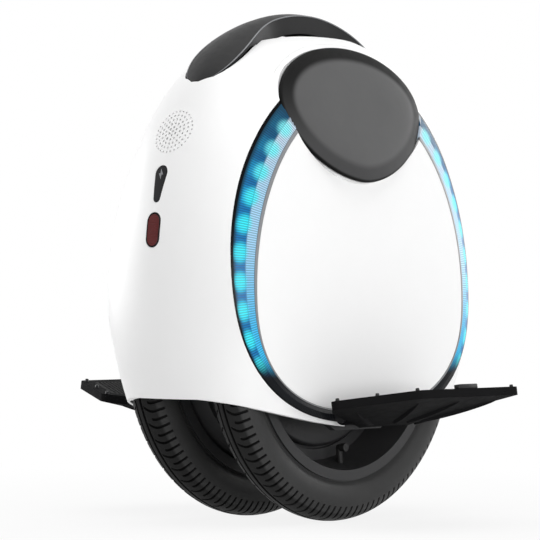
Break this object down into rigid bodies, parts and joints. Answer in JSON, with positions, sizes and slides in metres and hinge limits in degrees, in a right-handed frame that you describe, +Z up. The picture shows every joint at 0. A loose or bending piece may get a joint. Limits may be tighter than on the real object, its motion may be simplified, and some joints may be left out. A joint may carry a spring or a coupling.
{
  "type": "electric unicycle",
  "caption": "Self-balancing electric unicycle with an egg-shaped white shell, lit side bands, leg pads, a carry handle, folding pedals and side-by-side tyres on a hub motor.",
  "frame": {"origin": "on the ground under the middle of the axle", "axes": "+X forward, +Y to the rider's left along the axle, +Z up"},
  "size_m": [0.406, 0.4534, 0.5035],
  "materials": {
    "bare_alloy": "satin alloy",
    "battery_wrap": "shrink wrapped cells",
    "black_steel": "black oxide steel",
    "circuit": "printed circuit board",
    "clear_lens": "frosted clear lens",
    "copper": "enamelled copper",
    "dark_alloy": "satin dark anodised alloy",
    "dark_plastic": "fine grained black moulding",
    "gloss_black": "gloss black trim",
    "grey_bead": "satin grey bead",
    "grip_mat": "coarse grip mat",
    "light_guide": "ribbed clear guide over blue light",
    "pad_foam": "soft moulded pad, matte",
    "red_lens": "deep red lens",
    "steel": "zinc plated steel",
    "tube_rubber": "butyl rubber",
    "tyre_rubber": "matte black tyre rubber",
    "white_shell": "smooth satin white moulding"
  },
  "bodies": {
    "frame_and_shell": {"axle": "steel", "axle_nuts": "steel", "axle_spacers": "steel", "band_trim_left": "gloss_black", "band_trim_right": "gloss_black", "battery_pack_front": "battery_wrap", "battery_pack_rear": "battery_wrap", "bracket_bolts": "steel", "button_switch": "dark_plastic", "carry_handle": "dark_plastic", "charge_socket": "bare_alloy", "control_board": "circuit", "handle_well": "dark_plastic", "headlamp_board": "circuit", "headlamp_lens": "clear_lens", "heat_sink": "bare_alloy", "hinge_pin_left": "steel", "hinge_pin_right": "steel", "led_strip_left": "circuit", "led_strip_right": "circuit", "leg_pad_left": "pad_foam", "leg_pad_right": "pad_foam", "light_guide_left": "light_guide", "light_guide_right": "light_guide", "main_shell": "white_shell", "motor_stator": "steel", "motor_windings": "copper", "panel_bead_left": "grey_bead", "panel_bead_right": "grey_bead", "pedal_bracket_left": "dark_alloy", "pedal_bracket_right": "dark_alloy", "side_panel_left": "white_shell", "side_panel_right": "white_shell", "speaker_driver": "dark_plastic", "tail_lamp_board": "circuit", "tail_lamp_lens": "red_lens", "wheel_arch_liner": "dark_plastic"},
    "wheel": {"bearing_left": "steel", "bearing_right": "steel", "inner_tube_left": "tube_rubber", "inner_tube_right": "tube_rubber", "magnet_ring": "steel", "motor_cover_left": "dark_alloy", "motor_cover_right": "dark_alloy", "motor_drum": "dark_alloy", "rim_bolts": "black_steel", "rim_left": "dark_alloy", "rim_right": "dark_alloy", "tyre_left": "tyre_rubber", "tyre_right": "tyre_rubber"},
    "left_pedal": {"pedal_plate_left": "dark_alloy", "pedal_tread_left": "grip_mat", "pedal_studs_left": "black_steel", "pedal_buffer_left": "dark_plastic"},
    "right_pedal": {"pedal_plate_right": "dark_alloy", "pedal_tread_right": "grip_mat", "pedal_studs_right": "black_steel", "pedal_buffer_right": "dark_plastic"},
    "flap": {"charge_flap": "dark_plastic"},
    "button": {"power_button": "dark_plastic"}
  },
  "joints": [
    {"name": "wheel_spin", "type": "hinge", "parent": "frame_and_shell", "child": "wheel", "pos_m": [0, 0, 0.175], "axis": [0, 1, 0], "continuous": true},
    {"name": "left_pedal_fold", "type": "hinge", "parent": "frame_and_shell", "child": "left_pedal", "pos_m": [0, 0.108, 0.1065], "axis": [1, 0, 0], "range_deg": [0, 75]},
    {"name": "right_pedal_fold", "type": "hinge", "parent": "frame_and_shell", "child": "right_pedal", "pos_m": [0, -0.108, 0.1065], "axis": [-1, 0, 0], "range_deg": [0, 75]},
    {"name": "charge_flap_swing", "type": "hinge", "parent": "frame_and_shell", "child": "flap", "pos_m": [-0.1968, 0, 0.3114], "axis": [0, -1, 0], "range_deg": [0, 100]},
    {"name": "power_button_press", "type": "slide", "parent": "frame_and_shell", "child": "button", "axis": [-1, 0, 0], "range_m": [0, 0.002], "stiffness_N_per_m": 600, "springref_m": -0.001}
  ]
}
